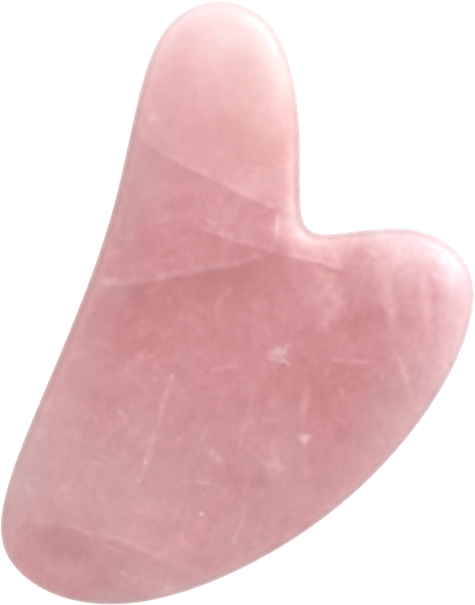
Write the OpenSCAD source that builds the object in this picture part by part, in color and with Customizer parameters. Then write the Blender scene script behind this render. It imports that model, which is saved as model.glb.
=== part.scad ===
// Facial gua sha board: one flat slice of rose quartz, sawn to a two-lobed outline, with both
// faces ground flat and the whole rim rounded over and polished.
// The board lies on its back face, so Z = 0 is that face. +Y runs up the tall lobe, +X towards
// the small lobe, and the origin is under the middle of the overall width and length.

/* [Board] */
// Overall width along X, in mm
board_w = 69; // [64:1:76]
// Overall length along Y, in mm
board_l = 88; // [82:1:96]
// Thickness between the two flat faces, in mm
board_t = 6.5; // [5:0.5:9]

/* [Rounded edge] */
// How far in from the rim the rounding reaches, in mm
edge_w = 5.5; // [3:0.5:6]
// Fullness of the rounding: 2 is an ellipse, and more is squarer
edge_fullness = 2.5; // [2:0.1:4]

/* [Smoothness] */
// Outline points for each control point
span_points = 12; // [6:1:14]
// Steps of the rounding, from the rim to a flat face
edge_steps = 7; // [4:1:8]

/* [Hidden] */

// Control points of the outline, anticlockwise, in mm: they pull a closed cubic B-spline towards
// them without touching it. The curve is stretched to board_w by board_l, so only their
// proportions count.
CONTROLS = [
    [  8.5,  45.0],  // tall lobe, right shoulder
    [-14.0,  45.5],  // tall lobe, left shoulder
    [-16.0,  13.0],  // long back edge, upper half
    [-35.0, -26.0],  // long back edge, lower half
    [-36.0, -39.5],  // heel, left side
    [-16.0, -48.0],  // heel, underside
    [ 20.5, -29.5],  // belly sweep
    [ 40.0,   3.0],  // small lobe, outer side
    [ 26.0,  13.5],  // small lobe, top
    [  8.5,   7.5],  // notch between the lobes
    [  9.5,  17.5],  // tall lobe, inner side above the notch
];

half_t = board_t / 2;
// The ring round the rim reaches this far in under the flat faces, and the core overlaps half of it
core_lap = 0.8;

// A point of the closed cubic B-spline with control points c: span i, at u from 0 to 1
function spline_point(c, i, u) =
    let (n = len(c), p0 = c[i], p1 = c[(i + 1) % n], p2 = c[(i + 2) % n], p3 = c[(i + 3) % n])
    (pow(1 - u, 3) * p0 + (3 * pow(u, 3) - 6 * pow(u, 2) + 4) * p1
        + (-3 * pow(u, 3) + 3 * pow(u, 2) + 3 * u + 1) * p2 + pow(u, 3) * p3) / 6;

// The direction in which the curve runs at that point
function spline_heading(c, i, u) =
    let (n = len(c), p0 = c[i], p1 = c[(i + 1) % n], p2 = c[(i + 2) % n], p3 = c[(i + 3) % n])
    (-pow(1 - u, 2) * p0 + (3 * pow(u, 2) - 4 * u) * p1
        + (-3 * pow(u, 2) + 2 * u + 1) * p2 + pow(u, 2) * p3) / 2;

// All the points of the curve, and the unit vector that points out of the board at each
function spline(c) = [for (i = [0 : len(c) - 1], k = [0 : span_points - 1])
    spline_point(c, i, k / span_points)];
function outward(c) = [for (i = [0 : len(c) - 1], k = [0 : span_points - 1])
    let (h = spline_heading(c, i, k / span_points)) [h.y, -h.x] / norm(h)];

function lowest(points) = [min([for (p = points) p.x]), min([for (p = points) p.y])];
function highest(points) = [max([for (p = points) p.x]), max([for (p = points) p.y])];

// Control points c, moved and stretched so that their curve fills board_w by board_l about the origin
function fitted(c) =
    let (low = lowest(spline(c)), high = highest(spline(c)), mid = (low + high) / 2)
    [for (p = c) [
        (p.x - mid.x) * board_w / (high.x - low.x),
        (p.y - mid.y) * board_l / (high.y - low.y)
    ]];

rim = spline(fitted(CONTROLS));
rim_normals = outward(fitted(CONTROLS));

// Point i of the outline, moved in from the rim by a distance
function inset(i, distance) = rim[i] - distance * rim_normals[i];

// The rounding as [inset, height] from the back face round the rim to the front face. Each half is
// a quarter of a superellipse: upright at the rim, and level where it meets its flat face.
rounding = [for (k = [-edge_steps : edge_steps])
    let (a = 90 * k / edge_steps, across = pow(abs(cos(a)), 2 / edge_fullness))
    [edge_w * (1 - across), half_t + half_t * sin(a)]];

// A closed ring along the outline, with the rounding outside and an upright wall inside
module rounded_ring() {
    inner_wall = edge_w + core_lap;
    section = concat([[inner_wall, 0]], rounding, [[inner_wall, board_t]]);
    n = len(rim);
    m = len(section);
    points = [for (i = [0 : n - 1], s = section) [inset(i, s.x).x, inset(i, s.x).y, s.y]];
    faces = [for (i = [0 : n - 1], j = [0 : m - 1])
        let (i2 = (i + 1) % n, j2 = (j + 1) % m)
        each [
            [i * m + j, i * m + j2, i2 * m + j2],
            [i * m + j, i2 * m + j2, i2 * m + j]
        ]];
    polyhedron(points, faces);
}

// The flat middle of the board, which reaches out into the ring
module flat_core() {
    linear_extrude(board_t) polygon([for (i = [0 : len(rim) - 1]) inset(i, edge_w + core_lap / 2)]);
}

// The board, which is one piece of stone
module stone_board() {
    color([0.83, 0.60, 0.61]) union() {
        rounded_ring();
        flat_core();
    }
}

stone_board();
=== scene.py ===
"""Looks for the rose quartz gua sha board: its polished surface, the colour zones and healed
cracks inside the stone, and a plain white studio seen from straight above."""

import math

import bpy
import numpy as np
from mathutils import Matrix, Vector
from mathutils.geometry import delaunay_2d_cdt


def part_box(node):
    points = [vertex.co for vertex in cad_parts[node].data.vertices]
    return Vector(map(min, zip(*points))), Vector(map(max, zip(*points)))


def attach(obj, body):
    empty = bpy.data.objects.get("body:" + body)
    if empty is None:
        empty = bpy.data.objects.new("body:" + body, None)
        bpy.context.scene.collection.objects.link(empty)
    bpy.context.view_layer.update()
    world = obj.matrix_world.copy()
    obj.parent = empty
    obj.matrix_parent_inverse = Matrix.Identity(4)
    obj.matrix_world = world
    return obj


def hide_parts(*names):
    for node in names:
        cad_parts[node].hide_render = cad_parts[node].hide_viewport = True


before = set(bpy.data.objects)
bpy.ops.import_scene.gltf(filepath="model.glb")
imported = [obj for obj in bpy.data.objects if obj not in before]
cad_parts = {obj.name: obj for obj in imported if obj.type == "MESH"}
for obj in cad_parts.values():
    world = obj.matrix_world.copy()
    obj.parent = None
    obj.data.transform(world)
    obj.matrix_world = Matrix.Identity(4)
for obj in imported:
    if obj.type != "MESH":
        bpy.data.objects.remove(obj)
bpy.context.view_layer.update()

NODE = "stone_board"
MM = 0.001

# The rounding of the rim, the same as in the CAD model, in mm
EDGE_W = 5.5
EDGE_FULLNESS = 2.5

# Mesh fineness
FINE_SPANS = 6        # outline points for each corner of the CAD outline
EDGE_STEPS = 20       # steps of the rounding, from the rim to a flat face
CAP_GRID = 1.1        # spacing of the flat faces' inner points, in mm
CAP_ROW = 0.87        # the distance between their rows, as a share of the spacing
CAP_CLEAR = 0.55      # the least distance between them and the outline, as a share of the spacing

# A hand-ground face has slow shallow waves. Their height is in mm.
WAVE_HEIGHT = 0.012

low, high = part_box(NODE)
low, high = low / MM, high / MM
thickness = high.z - low.z
mid_z = (low.z + high.z) / 2


# ---------------------------------------------------------------- the board's mesh

def cad_outline():
    """The corners of the CAD board at mid-thickness, in mm, in order round the board"""
    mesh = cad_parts[NODE].data
    spots = [(round(v.co.x / MM, 3), round(v.co.y / MM, 3)) for v in mesh.vertices]
    at_middle = [abs(v.co.z / MM - mid_z) < 0.01 for v in mesh.vertices]
    beside = {}
    for edge in mesh.edges:
        a, b = edge.vertices
        if at_middle[a] and at_middle[b] and spots[a] != spots[b]:
            beside.setdefault(spots[a], set()).add(spots[b])
            beside.setdefault(spots[b], set()).add(spots[a])
    start = min(beside)
    loop = [start, max(beside[start])]
    while True:
        onward = [p for p in beside[loop[-1]] if p != loop[-2]]
        if onward[0] == start:
            break
        loop.append(onward[0])
    loop = np.array(loop)
    area = np.sum(loop[:, 0] * np.roll(loop[:, 1], -1) - loop[:, 1] * np.roll(loop[:, 0], -1))
    return loop if area > 0 else loop[::-1]


def smooth_outline(corners, spans):
    """Points and outward normals of the closed cubic B-spline through the corners, anticlockwise"""
    unit = np.eye(len(corners))
    basis = (4 * unit + np.roll(unit, 1, axis=1) + np.roll(unit, -1, axis=1)) / 6
    p1 = np.linalg.solve(basis, corners)[:, None]
    p0, p2, p3 = np.roll(p1, 1, axis=0), np.roll(p1, -1, axis=0), np.roll(p1, -2, axis=0)
    u = (np.arange(spans) / spans)[None, :, None]
    points = ((1 - u) ** 3 * p0 + (3 * u**3 - 6 * u**2 + 4) * p1
              + (-3 * u**3 + 3 * u**2 + 3 * u + 1) * p2 + u**3 * p3) / 6
    along = (-((1 - u) ** 2) * p0 + (3 * u**2 - 4 * u) * p1
             + (-3 * u**2 + 2 * u + 1) * p2 + u**2 * p3)
    points, along = points.reshape(-1, 2), along.reshape(-1, 2)
    normals = np.stack([along[:, 1], -along[:, 0]], axis=1)
    return points, normals / np.linalg.norm(normals, axis=1, keepdims=True)


def cap(loop, rim):
    """Points inside the loop on a staggered grid, and the triangles that join them to it.
    Returns the new points, their distances from the rim, and triangles of point numbers,
    where the loop's own points come first."""
    xs = np.arange(loop[:, 0].min(), loop[:, 0].max(), CAP_GRID)
    ys = np.arange(loop[:, 1].min(), loop[:, 1].max(), CAP_GRID * CAP_ROW)
    grid = np.array([(x + (row % 2) * CAP_GRID / 2, y) for row, y in enumerate(ys) for x in xs])
    a, b = loop, np.roll(loop, -1, axis=0)
    rises = (a[None, :, 1] > grid[:, None, 1]) != (b[None, :, 1] > grid[:, None, 1])
    slope = (b[:, 0] - a[:, 0]) / np.where(b[:, 1] == a[:, 1], 1e-9, b[:, 1] - a[:, 1])
    cross_x = a[None, :, 0] + (grid[:, None, 1] - a[None, :, 1]) * slope[None, :]
    inside = (rises & (grid[:, None, 0] < cross_x)).sum(axis=1) % 2 == 1
    grid = grid[inside]
    clear = np.linalg.norm(grid[:, None] - loop[None], axis=2).min(axis=1) > CAP_GRID * CAP_CLEAR
    grid = grid[clear]
    depth = np.linalg.norm(grid[:, None] - rim[None], axis=2).min(axis=1)
    spots = [Vector(p) for p in np.concatenate([loop, grid])]
    border = [list(range(len(loop)))]
    made = delaunay_2d_cdt(spots, [], border, 1, 1e-6)
    triangles = [tuple(made[3][i][0] for i in face) for face in made[2]]
    return grid, depth, triangles


def ground_flat(x, y):
    """The height of the ground face over a true plane, in mm: three waves, and all below it"""
    wave = (np.sin(0.16 * x + 0.07 * y + 0.6) + np.sin(0.05 * x - 0.19 * y + 1.9)
            + 0.6 * np.sin(0.31 * x + 0.24 * y + 4.0))
    most = 2.6
    return WAVE_HEIGHT * (wave - most)


def board_mesh():
    """A fine closed mesh of the board, with each point's distance from the rim stored on it"""
    rim, outward = smooth_outline(cad_outline(), FINE_SPANS)
    turns = np.radians(np.linspace(-90, 90, 2 * EDGE_STEPS + 1))
    insets = EDGE_W * (1 - np.abs(np.cos(turns)) ** (2 / EDGE_FULLNESS))
    heights = mid_z + thickness / 2 * np.sin(turns)
    rings = [np.column_stack([rim - d * outward, np.full(len(rim), z)])
             for d, z in zip(insets, heights)]
    n = len(rim)
    faces = []
    for ring in range(len(rings) - 1):
        for i in range(n):
            i2 = (i + 1) % n
            faces.append((ring * n + i, ring * n + i2, (ring + 1) * n + i2, (ring + 1) * n + i))
    points = np.concatenate(rings)
    rim_distance = np.repeat(insets, n)
    inner, depth, triangles = cap(rings[0][:, :2], rim)
    for first, z, front in ((0, low.z, False), ((len(rings) - 1) * n, high.z, True)):
        base = len(points)
        points = np.concatenate([points, np.column_stack([inner, np.full(len(inner), z)])])
        rim_distance = np.concatenate([rim_distance, depth])
        for t in triangles:
            t = t if front else t[::-1]
            faces.append(tuple(first + i if i < n else base + i - n for i in t))
    # The waves are on the front face, and fade out down its rounded edge
    front_side = np.clip((points[:, 2] - mid_z) / (thickness / 2), 0, 1) ** 4
    points[:, 2] += front_side * ground_flat(points[:, 0], points[:, 1])
    mesh = bpy.data.meshes.new("quartz_board")
    mesh.from_pydata((points * MM).tolist(), [], faces)
    mesh.attributes.new("rim_distance", "FLOAT", "POINT").data.foreach_set("value", rim_distance)
    mesh.polygons.foreach_set("use_smooth", [True] * len(mesh.polygons))
    mesh.validate()
    return mesh


board = bpy.data.objects.new("quartz_board", board_mesh())
bpy.context.scene.collection.objects.link(board)
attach(board, "root")
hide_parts(NODE)

# ---------------------------------------------------------------- the stone's material

# What the stone holds inside, in mm as seen from the front, with turns and leans in degrees. A turn
# is from +X towards +Y, and a lean tips a crack over through the thickness. Amounts add to how pale
# the stone is: 0 in its deepest rose, 1 where it is almost white.

PALE_BASE = 0.25
# Broad soft ovals: amount, middle, radii, turn
PALE_ZONES = [
    (0.88, (2, 60), (40, 60), 0),        # the tall lobe, more and more towards its tip
    # Painted light: a glow beside the highlight on the tall lobe's right-hand rim
    (0.24, (10, 25), (9, 26), 0),        # its side towards the notch
    (0.06, (1, 15), (8, 8), 0),
    (0.08, (3, 26), (6, 11), 0),
    # Painted highlight beside the notch
    (0.12, (9.5, 16), (4, 8), 0),
    (0.26, (-14, 38), (6, 16), -20),     # its outer side
    (0.41, (-2, 45), (16, 10), 0),       # its very tip
    # Painted light: a glow beside the highlight near the tall lobe's tip
    (0.28, (7, 38), (9, 13), 0),
    (0.12, (-12.5, 27), (4, 6), 0),
    (0.10, (3, 17), (6, 4), -25),        # just above the uppermost veil
    (0.30, (11, 9.5), (9, 6), -20),      # round the notch
    (0.12, (8.5, 11.5), (5, 5), 0),
    (0.48, (25, 9), (17, 9), -5),        # along the small lobe's top
    (0.42, (33, 0), (10, 20), 0),        # the small lobe's outer side
    (0.26, (12.5, 1), (5, 5.5), -15),
    (0.12, (8.5, 6), (4, 4), 0),
    (0.10, (8.5, 1), (4, 4), 0),
    (0.08, (18, 1), (6, 4), 0),
    (0.05, (24, 6), (5, 4), 0),
    (0.10, (28.5, -4), (5, 6), 0),
    (0.06, (-2, -9), (5, 4), 0),
    (0.06, (-12, -19), (4, 4), 0),
    (0.12, (-10, -31), (14, 7), -15),    # above the heel
    (-0.10, (1, 5.5), (7, 3), 15),       # between the middle veils
    (-0.12, (-2, 3), (8, 5), 10),        # below them
    (-0.13, (-15, -3), (10, 7), 10),
    (0.10, (-12, 16), (6, 5), -20),
    (0.07, (3, -4), (5, 4), 0),
    (-0.17, (11, -11), (9, 6), -15),     # the deep middle of the body
    (0.06, (5, -21), (6, 5), 0),
    (0.05, (-27, -27), (6, 6), 0),
    (0.09, (-14, -35), (6, 3), -15),
    (-0.07, (18, -3), (5, 4), 0),
    (0.15, (23, 3), (7, 7), 0),
    (0.09, (24, -2), (6, 12), 0),
    (0.12, (25.5, -8.5), (6, 6), 0),
    (0.22, (-12, -41), (8, 4), -10),
    (0.10, (-26, -15), (7, 14), -20),    # the outer side of the body
    (-0.10, (3, -29.5), (5, 7), 15),
    (-0.14, (0.5, -25.3), (6, 3), -10),
    (-0.20, (-24.5, -35), (7, 4.5), -20),  # the heel's dark patch
    (0.16, (10.5, 4), (6, 3), -12),      # below the end of the second veil
    (0.04, (0, 34), (8, 10), 0),
    (0.08, (-8, -36), (5, 3), -15),
    (0.04, (-13, -30), (5, 4), 0),
    (0.03, (31, -9), (5, 11), -25),      # the small lobe's lower rim
    (-0.06, (20, -12), (5, 4), 0),
    (0.05, (30, -8), (3.5, 9), -15),
    (0.12, (25.5, -16), (3.5, 6), -35),
    (0.06, (-9, -37), (4, 3), -15),
    (-0.09, (8.5, 27), (3, 16), 0),      # the tall lobe's right rim
    # Painted highlight: the band along the small lobe's top rim, in this zone and the next
    (0.08, (17, 10), (10, 2.2), 5),      # the small lobe's top rim
    (0.08, (22, 9.8), (5, 2.2), 5),
    (0.11, (13.5, 4), (6, 2.6), -20),
    (0.08, (25.5, 1.5), (2.5, 4), 0),
    (0.05, (27, -9.5), (3, 5), -15),
    (0.09, (-13, -37.3), (6, 2.5), -12),
    (0.06, (-16, -32), (6, 3), -15),
    (0.06, (31.6, 0.5), (2.5, 3), 0),
    (-0.05, (13.3, 0), (3, 3), 0),
    (-0.10, (28, 8.5), (4.5, 3), -35),
    (0.10, (31.5, 3.5), (3, 4), 0),
    (-0.04, (3.4, -29.6), (4, 3), 0),
    (0.07, (-10.5, 36), (3.5, 7), -15),  # the tall lobe's left rim
    (-0.07, (-5, 40.5), (5, 4), 0),
    (-0.08, (-32, -35), (3, 6), 0),
    (0.06, (-25, -27), (7, 6), 0),
    (0.07, (8.5, -14.3), (3.5, 3.5), 0),
    (0.06, (8, -24.5), (4, 4), 0),
    (0.05, (-12, -39.8), (4, 2.5), -10),
    (0.05, (-4, 17), (10, 9), 0),
    (0.04, (1, 11.5), (6, 3.5), -15),
    (0.05, (-22, -41), (8, 3), -15),
]
# Where it turns grey and milky, on a scale of its own: amount, middle, radii, turn
MILKY_ZONES = [
    (0.42, (-26, -26), (22, 26), 0),
    (0.25, (-32, -27), (4, 10), 0),
    # Painted highlight beside the notch
    (0.25, (9.5, 15), (3.5, 8), 0),
    (0.25, (-8, -26), (22, 20), 0),
    (0.30, (6, -32), (24, 8), 38),
    (0.25, (-20, 2), (8, 20), -12),
    (0.40, (-14, 20), (8, 13), -15),
    (0.50, (24, -16), (14, 9), 58),
    (0.08, (-18.5, 2.6), (3.5, 1.6), -20),
    (0.18, (-17, 11.5), (4, 5), -15),
    (0.12, (-17, 1), (3, 3), 0),
    (0.15, (-22, -6), (5, 7), 0),
    (0.25, (9, 11), (4, 4), 0),
    (0.15, (-12, 30), (4, 8), -15),
    (0.35, (17, -28), (12, 6), 42),
    (0.25, (-30, -18), (9, 20), -20),
    (0.38, (-9, -40), (13, 5), -10),
    (0.20, (8, -22), (10, 6), 30),
    (0.25, (2, -38), (12, 4), 28),
    (0.20, (31, -10), (6, 9), -30),
    (0.22, (-33, -34), (4, 8), 0),
    (-0.15, (-21, -16), (6, 5), 0),
    (-0.10, (-16, -19), (4, 4), 0),
    (0.30, (-17, -43), (7, 3), -5),
    (0.15, (7.5, -15.5), (3, 4), 0),
    # Painted highlight: the band along the small lobe's top rim
    (0.20, (17, 9.8), (10, 3), 5),
    (0.08, (13.5, 1), (4, 4), 0),
    # Painted highlight: the band along the small lobe's top rim
    (0.20, (22, 9.8), (6, 2.4), 5),
    (0.12, (27.5, -8.5), (3.5, 5), -15),
    (0.12, (31, -3), (4, 14), -10),
    (0.12, (-11, 36), (4, 8), -15),
    (-0.10, (24, -14), (4, 4), 0),
    (0.10, (26, -17), (3.5, 6), -35),
    (0.10, (-9, -37), (5, 3), -15),
]
# Healed cracks: start, end, width of the bright line, its amount, the amounts on its left-hand and
# right-hand sides, how far those reach, how far it bows, its lean
VEILS = [
    ((-15.5, 24.6), (9.5, 12.4), 0.80, 0.08, 0.05, -0.10, 9, -0.3, 25),
    ((-6.2, 11.0), (17.5, 4.3), 0.65, 0.12, 0.07, -0.10, 5, 0, -20),
    ((-22.5, 2.8), (6.0, 8.0), 0.85, 0.11, 0.03, -0.12, 8, -1.0, 30),
    ((-31.5, -31.2), (-4.5, -40.0), 0.90, 0.06, 0.03, -0.13, 6, 1.2, 20),
]
# Fine bright streaks: amount, start, end, width
STREAKS = [
    (0.16, (-9.3, -10.0), (-11.6, -18.0), 0.8),
    (0.14, (-11.2, -16.5), (-14.5, -26.5), 0.8),
    (0.14, (21.6, 7.0), (23.0, -8.0), 1.5),
    (0.14, (23.0, -6.0), (25.6, -15.6), 0.9),
    (0.14, (26.9, 6.5), (28.0, -7.6), 1.3),
    (0.16, (15.8, 1.0), (10.8, -5.2), 1.3),
    (0.17, (11.6, -7.6), (21.8, -9.0), 0.7),
    (0.12, (10.9, -9.0), (8.9, -19.4), 1.0),
    (0.10, (14.7, -12.0), (16.0, -14.0), 0.7),
    (0.12, (21.3, -9.6), (21.1, -12.2), 0.6),
    (0.17, (-17.9, -15.1), (-15.8, -17.3), 0.6),
    (0.12, (-10.0, -19.1), (-7.9, -19.7), 0.5),
    (0.13, (-7.2, -26.1), (-2.8, -26.6), 0.5),
    (0.12, (0.8, -31.4), (-1.0, -36.2), 0.7),
    (0.12, (1.3, -28.8), (0.0, -34.0), 0.6),
    # Painted reflection: the back edge's highlight seen through the stone by the notch
    (0.20, (6.2, 13.9), (5.9, 8.7), 0.5),
    (0.10, (-31.6, -25.2), (-29.0, -28.8), 0.8),
    (0.10, (-4.6, -17.4), (-5.6, -20.6), 0.7),
    (0.08, (4.4, -20.0), (6.2, -23.4), 0.7),
    (0.08, (-13.5, 12.0), (-6.0, 12.4), 0.8),
    (0.08, (-19.0, 9.6), (-12.0, 9.4), 0.7),
    (0.10, (-12.0, -5.0), (-17.5, -11.5), 0.9),
    (0.10, (2.0, -9.0), (-6.0, -9.6), 0.7),
    (0.08, (17.0, -3.0), (13.0, 2.5), 0.8),
    (0.12, (-5.2, -20.6), (-3.2, -23.2), 0.9),
    (0.12, (-4.0, -22.2), (-1.8, -24.0), 1.0),
    (0.12, (2.8, -23.2), (5.6, -23.7), 0.9),
    (0.12, (4.4, -23.2), (8.0, -24.2), 1.0),
    (0.13, (-24.5, -32.2), (-20.0, -34.6), 0.7),
    (0.10, (-20.8, -34.8), (-15.5, -37.0), 0.7),
]
# Families of short strokes, the traces of lesser cracks: amount, turn, lean, length, width
STROKES = [
    (0.10, 78, 20, 6, 1.5),
    (0.12, -32, -15, 4.5, 1.5),
    (0.12, 38, 30, 4.5, 1.4),
    (0.10, 3, 10, 4.5, 1.2),
    (0.09, 108, -20, 5, 1.4),
]
# Small crystals and trapped flecks: amount, middle, radius
FLECKS = [
    (0.32, (-5.2, -30.7), 0.55),
    (0.16, (-4.8, -27.8), 0.45),
    (0.14, (-22.3, -36.9), 0.5),
    (0.12, (-16.6, -39.1), 0.6),
    (0.16, (-13.3, -23.0), 0.45),
    (0.16, (-14.4, -25.8), 0.5),
    (0.16, (-9.5, -10.8), 0.6),
    (0.05, (-3.0, -23.0), 1.8),
    (0.05, (5.2, -23.8), 1.8),
    (0.12, (-9.8, 0.4), 0.8),
    (0.12, (-13.3, 1.7), 0.7),
    (0.12, (-28.7, -19.0), 1.6),
    (0.10, (-19.5, 2.2), 1.7),
    (-0.12, (-9.0, 3.6), 2.4),
    (-0.20, (-14.4, 1.3), 2.2),
    (-0.12, (-4.4, 4.3), 2.2),
    (-0.16, (-26.0, -34.3), 3.2),
    (-0.10, (3.4, -25.8), 2.0),
    (-0.08, (-22.5, -36.2), 2.6),
    (-0.08, (-18.0, -38.2), 1.8),
    (0.12, (-12.4, 26.8), 1.2),
    (0.09, (-13.4, 24.6), 0.9),
]
# The star-shaped feather: its middle, its soft patch's strength, radii and turn, and its rays'
# strength, width and ends
FEATHER = (5.7, -7.4)
FEATHER_PATCH = 0.40
FEATHER_RADII = (2.4, 1.7, 3)
FEATHER_TURN = 15
FEATHER_RAY = 0.42
FEATHER_RAY_WIDTH = 0.55
FEATHER_RAYS = [
    ((4.5, -6.0), (7.7, -7.4)),
    ((5.8, -8.0), (8.4, -5.0)),
    ((3.7, -8.0), (7.9, -8.6)),
    ((5.6, -7.4), (8.6, -10.0)),
    ((3.9, -7.2), (7.3, -7.2)),
]
# A small flat crystal with three sides: its middle, its radius, the radii of the glow about it and
# the way it points
CRYSTAL = (9.7, -19.7)
CRYSTAL_RADIUS = 0.62
CRYSTAL_GLOW = (1.1, 1.1, 4)
CRYSTAL_TURN = 90

# How much paler each thing makes the stone
# Painted light: how much paler the lit right-hand rim is painted
RIGHT_RIM_PAINTED_LIGHT = 0.18       # the thin right-hand rim
FEATHER_PALE = 0.25
CRYSTAL_PALE = 0.38
CLOUDS = 0.25
GRAIN = 0.22
FINE_GRAIN = 0.13
# How much milkier each makes it, and the most there is
VEIL_MILK = 1.3       # for each unit of a veil's bright line
MARK_MILK = 1.1       # for each unit of the streaks and flecks
FEATHER_MILK = 0.6
CRYSTAL_MILK = 0.4
MILK_CLOUDS = 0.32
MOST_MILK = 0.9
# How much of the fine differences goes into the brightness as well
FINE_SHADE = 0.5
# How far down the flecks and the streaks go, and the zones, which go right through
FLECK_DEPTH = 4
STREAK_DEPTH = 12
ZONE_DEPTH = 40
# How the grain lies: turn, lean, stretch
GRAIN_LIE = (75, 10, (1.15, 0.9, 1))

# Base colours from the deepest rose to the palest
ROSE = [
    (0.00, (0.54, 0.20, 0.21)),
    (0.20, (0.59, 0.245, 0.255)),
    (0.40, (0.655, 0.30, 0.315)),
    (0.60, (0.775, 0.40, 0.41)),
    (0.80, (0.87, 0.555, 0.56)),
    (1.00, (0.93, 0.74, 0.76)),
]
MILK = (0.62, 0.43, 0.44)
# Where the pink itself shifts: tint, middle, radii
TINTS = [
    ((0.985, 1.0, 1.05), (31, 1), (16, 22)),    # cooler on the small lobe's outer side
    ((0.92, 0.97, 0.96), (-19, -43), (20, 9)),  # browner along the heel
    ((1.0, 1.0, 0.95), (4, 33), (13, 22)),      # warmer on the tall lobe
]
WHITE = (1, 1, 1, 1)
# Painted shade: the colour of the darker line along the rim, as a share of the stone's
RIM_PAINTED_SHADE = (0.76, 0.84, 0.845)
# The polish: its roughness where it is best and worst, what the wheel's marks add, and their turn,
# lean, length and width as strokes
POLISH = (0.18, 0.25)
WHEEL_MARKS = 0.06
WHEEL_STROKES = (52, 0, 9, 0.3)
# Heights of the polished surface, in mm
WAVINESS = 0.014
ORANGE_PEEL = 0.0022
PIT_DEPTH = 0.008
PIT_SPACING = 1.7

stone = bpy.data.materials.new("rose_quartz")
stone.use_nodes = True
tree = stone.node_tree
shader = tree.nodes["Principled BSDF"]
X_AXIS = (1, 0, 0)
Y_AXIS = (0, 1, 0)
board.data.materials.append(stone)


def feed(socket, value):
    """Gives a socket a plain value, or links another socket to it"""
    if isinstance(value, bpy.types.NodeSocket):
        tree.links.new(value, socket)
    else:
        socket.default_value = value


def node(kind, inputs, **settings):
    """A new node with its settings, and its inputs by name or number"""
    made = tree.nodes.new("ShaderNode" + kind)
    for name, value in settings.items():
        setattr(made, name, value)
    for key, value in inputs.items():
        feed(made.inputs[key], value)
    return made


def calc(operation, *values):
    """One sum on plain numbers or sockets"""
    return node("Math", dict(enumerate(values)), operation=operation).outputs[0]


def vector(operation, *values):
    """One sum on vectors"""
    return node("VectorMath", dict(enumerate(values)), operation=operation).outputs["Vector"]


def times(*values):
    """The product of several values"""
    result = values[0]
    for value in values[1:]:
        result = calc("MULTIPLY", result, value)
    return result


def plus(so_far, amount, *values):
    """A running sum with amount times the values added"""
    return calc("MULTIPLY_ADD", times(*values), amount, so_far)


def scaled(where, factor):
    """A vector or a colour times one number"""
    return node("VectorMath", {0: where, "Scale": factor}, operation="SCALE").outputs[0]


def fade(value, start, end, low=0.0, high=1.0):
    """Goes smoothly from low, where value is start, to high, where it is end"""
    inputs = {"Value": value, "From Min": start, "From Max": end, "To Min": low, "To Max": high}
    return node("MapRange", inputs, interpolation_type="SMOOTHSTEP").outputs[0]


def noise(where, size, detail=2.0, roughness=0.5, output="Fac"):
    """Noise from 0 to 1 whose blots are about size mm across"""
    inputs = {"Vector": where, "Scale": 1 / size, "Detail": detail, "Roughness": roughness}
    return node("TexNoise", inputs).outputs[output]


def centred(value):
    """The same value about 0"""
    return calc("SUBTRACT", value, 0.5)


def nudged(where, size, reach):
    """Coordinates pushed about by noise of that size, by up to about reach mm"""
    push = vector("SUBTRACT", noise(where, size, 2, 0.5, "Color"), (0.5,) * 3)
    return vector("MULTIPLY_ADD", push, (2 * reach,) * 3, where)


def local(where, middle, turn=0.0, lean=0.0, stretch=(1, 1, 1), level=mid_z):
    """Coordinates about a middle point at that level, turned, leaned over, and in units of the
    stretch. It takes two nodes, because Cycles runs out of room with as many Mapping nodes."""
    rotation = (math.radians(lean), 0, math.radians(turn))
    inputs = {"Vector": where, "Center": (*middle, level), "Rotation": rotation}
    turned = node("VectorRotate", inputs, rotation_type="EULER_XYZ", invert=True).outputs[0]
    shrink = [1 / s for s in stretch]
    shift = [-c / s for c, s in zip((*middle, level), stretch)]
    return vector("MULTIPLY_ADD", turned, shrink, shift)


def along_axis(where, axis):
    """One component of a vector"""
    return node("VectorMath", {0: where, 1: axis}, operation="DOT_PRODUCT").outputs["Value"]


def patch(where, middle, radii, turn=0.0, lean=0.0, level=mid_z):
    """A soft oval patch: 1 at its middle and 0 past its radii"""
    spot = local(where, middle, turn, lean, radii, level)
    return fade(node("VectorMath", {0: spot}, operation="LENGTH").outputs["Value"], 0, 1, 1, 0)


def bearings(start, end):
    """The middle between two points, half their distance, and the way from one to the other"""
    middle = [(s + e) / 2 for s, e in zip(start, end)]
    turn = math.degrees(math.atan2(end[1] - start[1], end[0] - start[0]))
    return middle, math.dist(start, end) / 2, turn


def streak(where, start, end, width, lean=15):
    """A thin soft line between two points, tapered at its ends, running down into the stone"""
    middle, half, turn = bearings(start, end)
    return patch(where, middle, (half, width, STREAK_DEPTH), turn, lean, high.z)


def veil(where, start, end, width, line, left, right, reach, bow, lean):
    """A healed crack, as two values: its thin bright line, and what it adds to the stone on its
    two sides, which fades out over reach mm. It leans over through the thickness."""
    middle, half, turn = bearings(start, end)
    spot = local(where, middle, turn, lean, (1, 1, 1), high.z)
    along = calc("DIVIDE", along_axis(spot, X_AXIS), half)
    arch = calc("MULTIPLY", calc("SUBTRACT", 1, calc("MULTIPLY", along, along)), bow)
    across = calc("SUBTRACT", along_axis(spot, Y_AXIS), arch)
    ends = fade(calc("ABSOLUTE", along), 0.65, 1.05, 1, 0)
    bright = times(fade(calc("ABSOLUTE", across), 0, width, line, 0), patchy)
    above = times(fade(across, 0, width), fade(across, 0, reach, left, 0))
    below = times(fade(across, -width, 0, 1, 0), fade(across, -reach, 0, 0, right))
    return times(bright, ends), times(calc("ADD", above, below), ends)


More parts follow.
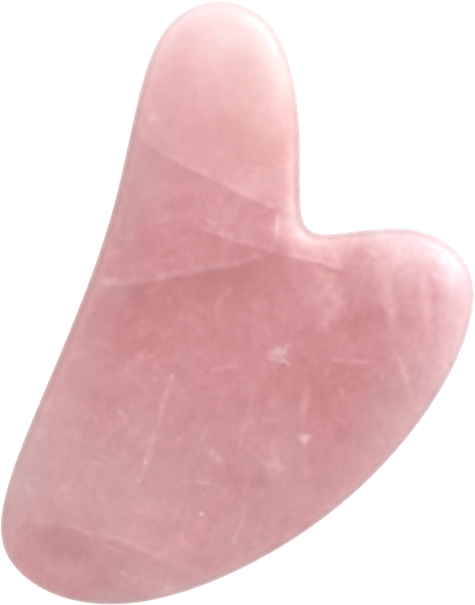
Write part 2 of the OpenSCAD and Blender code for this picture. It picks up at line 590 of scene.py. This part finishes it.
def strokes(where, turn, lean, length, width):
    """Short soft strokes that all run one way, at random places, some bright and fewer dark"""
    drawn = local(where, (0, 0), turn, lean, (length, width, length))
    cells = node("TexVoronoi", {"Vector": drawn, "Scale": 1})
    chance = node("SeparateColor", {0: cells.outputs["Color"]}).outputs[0]
    dark_share = 0.35
    shape = fade(cells.outputs["Distance"], 0, 0.55, 1, 0)
    return times(shape, calc("SUBTRACT", chance, dark_share))


def facet(where, middle, radius, turn):
    """A small crystal's three-sided face, which fades out from its middle"""
    spot = local(where, middle, turn, 0, (1, 1, 1), high.z)
    furthest = 0
    for side in range(3):
        way = math.radians(120 * side)
        furthest = calc("MAXIMUM", furthest, along_axis(spot, (math.cos(way), math.sin(way), 0)))
    return fade(furthest, 0, 1.7 * radius, 1, 0)


# Object coordinates in mm. Nothing in the stone runs quite straight: drifting, wavy and wobbly are
# the same coordinates pushed about, drifting the most.
place = scaled(node("TexCoord", {}).outputs["Object"], 1 / MM)
wavy = nudged(nudged(place, 12, 0.9), 1.6, 0.16)
drifting = nudged(nudged(place, 9, 2.5), 2.2, 0.8)
rim_distance = node("Attribute", {}, attribute_name="rim_distance").outputs["Fac"]
# How strongly a crack's line shows from place to place
patchy = fade(noise(place, 2.6, 3, 0.6), 0.36, 0.62, 0.25, 1.15)

# Each term joins its sum as soon as it is made, and the noise comes last, because Cycles can
# hold only so many values at a time.

# Broad differences change how pale the stone is
broad = PALE_BASE
for amount, middle, radii, turn in PALE_ZONES:
    broad = plus(broad, amount, patch(drifting, middle, (*radii, ZONE_DEPTH), turn))
# Painted light: the thin right-hand rim, on the side the lamps light it from, is painted paler as
# if light came through it
lit_right_side = fade(along_axis(place, X_AXIS), 6, 24)
broad = plus(broad, RIGHT_RIM_PAINTED_LIGHT, fade(rim_distance, 0.4, 6, 1, 0), lit_right_side)

# Fine differences change its brightness as well, and the bright ones are milky
fine = 0
milky = 0
for settings in VEILS:
    line, sides = veil(wavy, *settings)
    fine = plus(fine, 1, line)
    milky = plus(milky, VEIL_MILK, line)
    broad = plus(broad, 1, sides)
marks = 0
# The streaks vary less along their length than the cracks do
uneven = calc("MULTIPLY_ADD", patchy, 0.55, 0.45)
for amount, start, end, width in STREAKS:
    marks = plus(marks, amount, uneven, streak(wavy, start, end, width))
wobbly = nudged(place, 0.9, 0.45)
for amount, middle, radius in FLECKS:
    marks = plus(marks, amount, patch(wobbly, middle, (radius, radius, FLECK_DEPTH), level=high.z))
fine = plus(fine, 1, marks)
milky = plus(milky, MARK_MILK, calc("MAXIMUM", marks, 0))
feather = patch(wobbly, FEATHER, FEATHER_RADII, FEATHER_TURN, level=high.z)
feather = times(FEATHER_PATCH, feather)
for start, end in FEATHER_RAYS:
    feather = plus(feather, FEATHER_RAY, streak(wobbly, start, end, FEATHER_RAY_WIDTH))
fine = plus(fine, FEATHER_PALE, feather)
# The crystal is half glow and half face
crystal = times(0.5, patch(place, CRYSTAL, CRYSTAL_GLOW, level=high.z))
crystal = plus(crystal, 0.5, facet(place, CRYSTAL, CRYSTAL_RADIUS, CRYSTAL_TURN))
fine = plus(fine, CRYSTAL_PALE, crystal)
milky = plus(milky, FEATHER_MILK, feather)
milky = plus(milky, CRYSTAL_MILK, crystal)
for amount, middle, radii, turn in MILKY_ZONES:
    milky = plus(milky, amount, patch(drifting, middle, (*radii, ZONE_DEPTH), turn))

# Clouds, grain and the strokes. Both lobes are calmer inside than the rest.
broad = plus(broad, CLOUDS, centred(noise(drifting, 8, 4, 0.6)))
milky = plus(milky, MILK_CLOUDS, centred(noise(drifting, 5, 3, 0.6)))
milky = calc("MAXIMUM", calc("MINIMUM", milky, MOST_MILK), 0)
busy = fade(along_axis(place, Y_AXIS), 8, 24, 1, 0.35)
small_lobe = patch(place, (28, 4), (15, 13, ZONE_DEPTH))
busy = calc("MULTIPLY", busy, calc("MULTIPLY_ADD", small_lobe, -0.45, 1))
grain = local(wavy, (0, 0), *GRAIN_LIE)
fine = plus(fine, GRAIN, busy, centred(noise(grain, 2.2, 3, 0.6)))
fine = plus(fine, FINE_GRAIN, busy, centred(noise(grain, 0.9, 2, 0.6)))
crowded = times(busy, fade(noise(place, 6, 2), 0.38, 0.62, 0.35, 1.3))
for amount, *settings in STROKES:
    fine = plus(fine, amount, crowded, strokes(wavy, *settings))
pale = calc("ADD", broad, fine)

ramp = node("ValToRGB", {"Fac": pale})
ramp.color_ramp.interpolation = "B_SPLINE"
while len(ramp.color_ramp.elements) < len(ROSE):
    ramp.color_ramp.elements.new(0.5)
for element, (position, colour) in zip(ramp.color_ramp.elements, ROSE):
    element.position = position
    element.color = (*colour, 1)


def mixed(amount, below, above):
    """One colour over another. The Mix node's inputs 6 and 7 and its output 2 are its colours."""
    return node("Mix", {"Factor": amount, 6: below, 7: (*above, 1)}, data_type="RGBA").outputs[2]


colour = mixed(milky, ramp.outputs[0], MILK)
colour = scaled(colour, calc("MULTIPLY_ADD", fine, FINE_SHADE, 1))
for tint, middle, radii in TINTS:
    share = patch(drifting, middle, (*radii, ZONE_DEPTH))
    colour = vector("MULTIPLY", colour, mixed(share, WHITE, tint))
# The painted rim shade is strongest a little in from the rim
rim_shade = times(fade(rim_distance, 0.5, 1.2, 1, 0), fade(rim_distance, 0, 0.45, 0.5, 1))
colour = vector("MULTIPLY", colour, mixed(rim_shade, WHITE, RIM_PAINTED_SHADE))
feed(shader.inputs["Base Color"], colour)
shader.inputs["IOR"].default_value = 1.54
shader.inputs["Subsurface Weight"].default_value = 0.5
shader.inputs["Subsurface Radius"].default_value = (1.0, 0.45, 0.45)
shader.inputs["Subsurface Scale"].default_value = 2.0 * MM

# The polish: a little duller in blots, with fine marks of the polishing wheel and shallow pits
roughness = fade(noise(place, 6, 3, 0.6), 0.3, 0.7, *POLISH)
roughness = plus(roughness, WHEEL_MARKS, strokes(place, *WHEEL_STROKES))
feed(shader.inputs["Roughness"], roughness)
cells = node("TexVoronoi", {"Vector": place, "Scale": 1 / PIT_SPACING})
pits = fade(cells.outputs["Distance"], 0.03, 0.10, 1, 0)
height = plus(0, WAVINESS, noise(place, 5, 1))
height = plus(height, ORANGE_PEEL, noise(place, 0.9, 2))
height = plus(height, -PIT_DEPTH, pits)
bump = node("Bump", {"Height": height, "Distance": MM})
feed(shader.inputs["Normal"], bump.outputs[0])

# ---------------------------------------------------------------- studio

FLOOR_R = 3.0         # in m
FLOOR_SIDES = 96
WORLD_LIGHT = 0.96
PICTURE_TO_BOARD = 605 / 604  # the picture's height as a share of the board's
floor_mesh = bpy.data.meshes.new("floor")
around = [2 * math.pi * i / FLOOR_SIDES for i in range(FLOOR_SIDES)]
ring = [(FLOOR_R * math.cos(a), FLOOR_R * math.sin(a), 0) for a in around]
floor_mesh.from_pydata(ring, [], [list(range(FLOOR_SIDES))])
floor = bpy.data.objects.new("floor", floor_mesh)
bpy.context.scene.collection.objects.link(floor)
paper = bpy.data.materials.new("white_paper")
paper.use_nodes = True
paper_shader = paper.node_tree.nodes["Principled BSDF"]
paper_shader.inputs["Base Color"].default_value = (0.9, 0.9, 0.9, 1)
paper_shader.inputs["Roughness"].default_value = 0.9
paper_shader.inputs["Emission Color"].default_value = WHITE
paper_shader.inputs["Emission Strength"].default_value = 0.6
floor_mesh.materials.append(paper)

world = bpy.data.worlds.new("studio")
bpy.context.scene.world = world
world.use_nodes = True
sky = world.node_tree.nodes["Background"]
sky.inputs["Color"].default_value = WHITE
sky.inputs["Strength"].default_value = WORLD_LIGHT


def softbox(name, azimuth, elevation, distance, size, radiance, glossy_only=False):
    """A rectangular area light that faces the board. Azimuth is from +X towards +Y. A glossy-only
    one shows in the polish but doesn't light the stone."""
    lamp = bpy.data.lights.new(name, "AREA")
    lamp.shape = "RECTANGLE"
    lamp.size, lamp.size_y = size
    lamp.energy = radiance * math.pi * size[0] * size[1]
    a, e = math.radians(azimuth), math.radians(elevation)
    away = Vector((math.cos(a) * math.cos(e), math.sin(a) * math.cos(e), math.sin(e)))
    thing = bpy.data.objects.new(name, lamp)
    thing.location = away * distance
    thing.rotation_euler = away.to_track_quat("Z", "Y").to_euler()
    thing.visible_diffuse = not glossy_only
    bpy.context.scene.collection.objects.link(thing)


softbox("key", 48, 27, 0.5, (0.30, 0.20), 3.0)
softbox("halo", 48, 36, 0.55, (0.45, 0.50), 1.3, glossy_only=True)
softbox("wrap", 36, 27, 0.6, (1.3, 0.17), 0.40, glossy_only=True)
softbox("top_band", 95, 27, 0.6, (0.5, 0.17), 0.6, glossy_only=True)
softbox("notch_light", 18, 33, 0.053, (0.022, 0.018), 2.2, glossy_only=True)
softbox("lobe_light", 16, 19, 0.068, (0.024, 0.014), 2.0, glossy_only=True)
softbox("fill", 140, 27, 0.6, (0.5, 0.20), 0.8, glossy_only=True)

camera_data = bpy.data.cameras.new("camera")
camera_data.lens = 180
camera_data.sensor_width = 36
camera = bpy.data.objects.new("camera", camera_data)
bpy.context.scene.collection.objects.link(camera)
bpy.context.scene.camera = camera
# The camera looks straight down, and the board all but fills the picture's height
frame_height = PICTURE_TO_BOARD * (high.y - low.y)
camera.location = (0, 0, (mid_z + frame_height * camera_data.lens / camera_data.sensor_width) * MM)
camera_data.clip_start = 0.01
camera_data.clip_end = 10
bpy.context.scene.view_settings.view_transform = "Standard"
